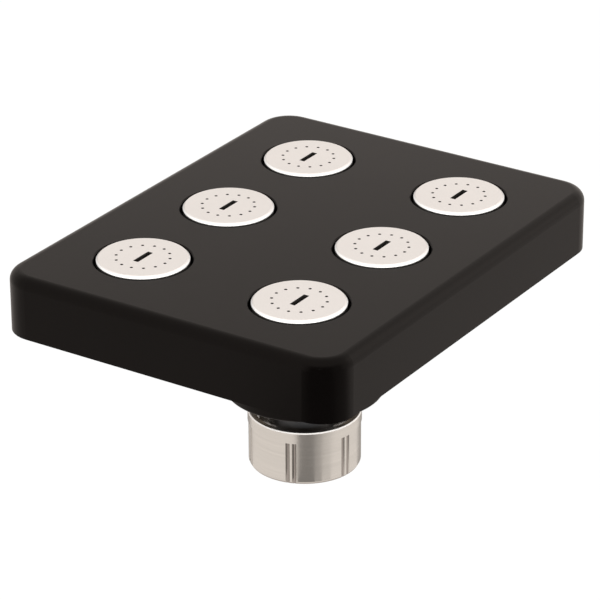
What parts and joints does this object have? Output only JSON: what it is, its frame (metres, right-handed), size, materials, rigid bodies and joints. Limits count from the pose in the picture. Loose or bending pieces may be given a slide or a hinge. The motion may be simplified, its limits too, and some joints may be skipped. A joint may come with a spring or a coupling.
{
  "type": "fixed shower head",
  "caption": "Rectangular fixed overhead shower head with round metal spray discs and a ball joint in a flared boss, on a grip sleeve with a threaded inlet.",
  "frame": {"origin": "centre of the inlet sleeve's flat bottom face, on the inlet axis", "axes": "+Z along the inlet axis towards the spray face, +Y along the plate's long side, +X along its short side"},
  "size_m": [0.116, 0.1494, 0.0782],
  "materials": {
    "black_plastic": "matte warm black moulded plastic",
    "satin_cap": "fine satin metal with a bright rounded rim",
    "satin_nickel": "satin turned nickel",
    "black_metal": "gloss black",
    "brass": "plain turned",
    "stainless": "plain",
    "inner_plastic": "plain dark moulded",
    "seat_plastic": "plain low-friction plastic",
    "rubber": "plain"
  },
  "bodies": {
    "inlet": {"grip_sleeve": "satin_nickel", "ball_stem": "black_metal", "inlet_washer": "rubber", "filter_screen": "stainless", "flow_regulator": "inner_plastic"},
    "upper_seat": {"upper_ball_seat": "seat_plastic", "ball_seal": "rubber"},
    "lower_seat": {"lower_ball_seat": "seat_plastic"},
    "head": {"retaining_nut": "brass", "ball_socket": "brass", "socket_gasket": "rubber", "socket_lock_nut": "brass", "spigot_ring": "rubber", "back_cover": "black_plastic", "perimeter_gasket": "rubber", "front_shell": "black_plastic", "manifold_tray": "inner_plastic", "manifold_gasket": "rubber", "manifold_lid": "inner_plastic", "housing_screws": "stainless", "manifold_screws": "stainless", "spray_cap_1": "satin_cap", "nozzle_mat_1": "rubber", "cap_seal_1": "rubber", "spray_cap_2": "satin_cap", "nozzle_mat_2": "rubber", "cap_seal_2": "rubber", "spray_cap_3": "satin_cap", "nozzle_mat_3": "rubber", "cap_seal_3": "rubber", "spray_cap_4": "satin_cap", "nozzle_mat_4": "rubber", "cap_seal_4": "rubber", "spray_cap_5": "satin_cap", "nozzle_mat_5": "rubber", "cap_seal_5": "rubber", "spray_cap_6": "satin_cap", "nozzle_mat_6": "rubber", "cap_seal_6": "rubber"}
  },
  "joints": [
    {"name": "tilt_x", "type": "hinge", "parent": "inlet", "child": "upper_seat", "pos_m": [0, 0, 0.0327], "axis": [1, 0, 0], "range_deg": [-12, 12]},
    {"name": "tilt_y", "type": "hinge", "parent": "upper_seat", "child": "lower_seat", "pos_m": [0, 0, 0.0327], "axis": [0, 1, 0], "range_deg": [-12, 12]},
    {"name": "swivel", "type": "hinge", "parent": "lower_seat", "child": "head", "pos_m": [0, 0, 0.0327], "axis": [0, 0, 1], "continuous": true}
  ]
}
